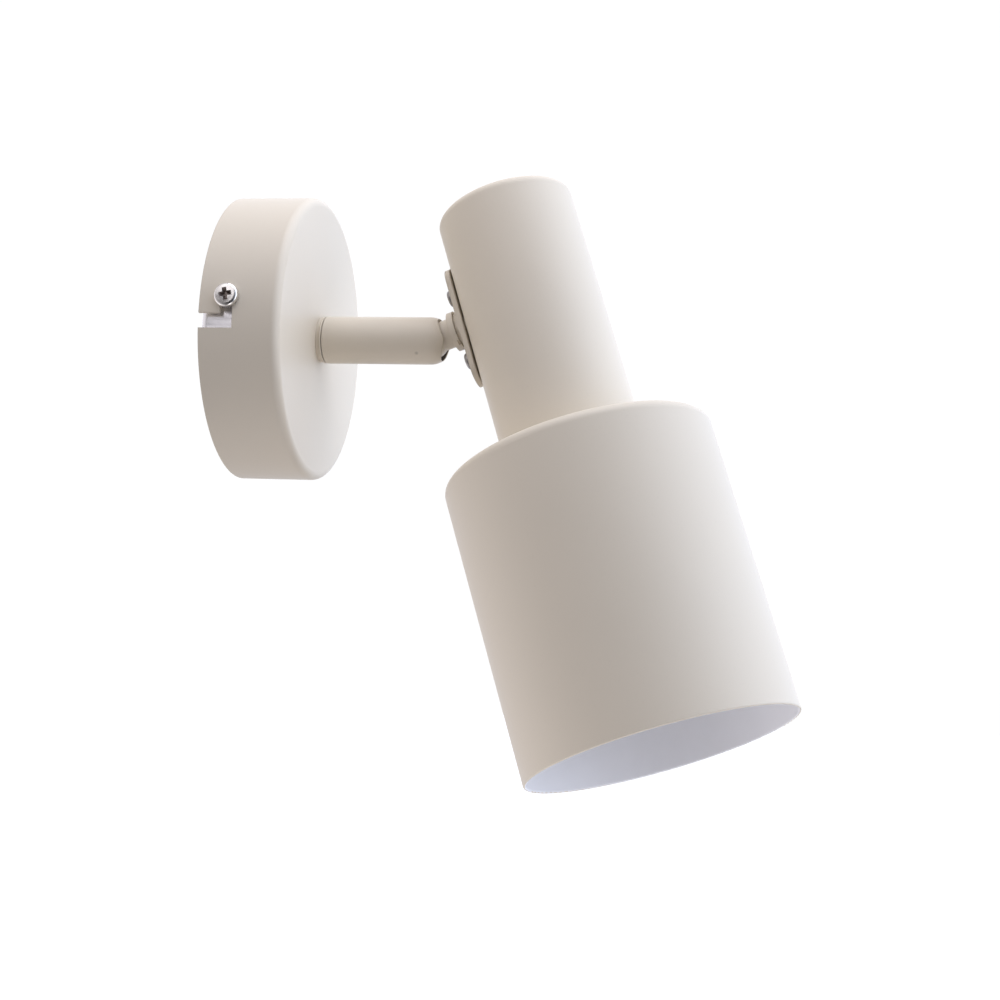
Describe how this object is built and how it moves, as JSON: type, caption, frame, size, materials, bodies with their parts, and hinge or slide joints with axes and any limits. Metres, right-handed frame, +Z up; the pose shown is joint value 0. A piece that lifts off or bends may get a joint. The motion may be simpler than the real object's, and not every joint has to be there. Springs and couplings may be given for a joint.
{
  "type": "wall spotlight",
  "caption": "Wall spotlight: round cup base, swivelling tube arm, slotted ball knuckle and a turning head with a closed neck, a drum shade and a bulb.",
  "frame": {"origin": "centre of the base on the wall plane", "axes": "-Y points out of the wall along the arm, +Z is up, +X is to the right seen from the front"},
  "size_m": [0.1429, 0.2022, 0.2099],
  "materials": {
    "cream_paint": "matt powder coat",
    "shade_paint": "matt powder coat outside, matt white inside",
    "zinc": "bright zinc plate",
    "chrome": "bright nickel plate",
    "steel": "plain",
    "brass": "plain",
    "white_plastic": "moulded",
    "black_plastic": "moulded",
    "holder_plastic": "glazed",
    "wire_insulation": "soft plastic cores in brown, blue and green-yellow",
    "diffuser": "opal",
    "cap_metal": "bright"
  },
  "bodies": {
    "base": {"base_cover": "cream_paint", "mounting_bracket": "zinc", "cover_screws": "chrome", "terminal_housing": "white_plastic", "terminal_inserts": "brass", "terminal_screws": "steel", "terminal_fixing_screw": "zinc", "earth_screw": "brass", "earth_lead": "wire_insulation", "base_leads": "wire_insulation", "swivel_bolt": "steel", "swivel_nut": "zinc", "toothed_washer": "steel", "swivel_collar": "cream_paint"},
    "arm": {"arm_tube": "cream_paint", "arm_bush": "steel", "disc_spring": "steel", "spring_stop": "steel", "friction_spring": "zinc", "seat_ring": "black_plastic", "arm_leads": "wire_insulation"},
    "knuckle": {"ball_stem": "cream_paint", "stem_ring": "cream_paint", "stem_washer": "steel", "stem_nut": "zinc", "stem_leads": "wire_insulation"},
    "head": {"head_plate": "cream_paint", "plate_screws": "chrome", "nut_plate": "zinc", "neck_tube": "cream_paint", "shade": "shade_paint", "lampholder_body": "holder_plastic", "screw_shell": "brass", "centre_contact": "brass", "shade_ring": "holder_plastic", "head_leads": "wire_insulation", "bulb_cap": "cap_metal", "bulb_contact": "black_plastic", "bulb_housing": "white_plastic", "bulb_diffuser": "diffuser"}
  },
  "joints": [
    {"name": "arm_swivel", "type": "hinge", "parent": "base", "child": "arm", "pos_m": [0, -0.03, 0], "axis": [0, -1, 0], "range_deg": [-165, 165]},
    {"name": "knuckle_tilt", "type": "hinge", "parent": "arm", "child": "knuckle", "pos_m": [0, -0.068, 0], "axis": [-1, 0, 0], "range_deg": [-34.4, 3.6]},
    {"name": "head_turn", "type": "hinge", "parent": "knuckle", "child": "head", "pos_m": [0, -0.068, 0], "axis": [0, -0.9373, 0.3486], "range_deg": [-78, 112]}
  ]
}
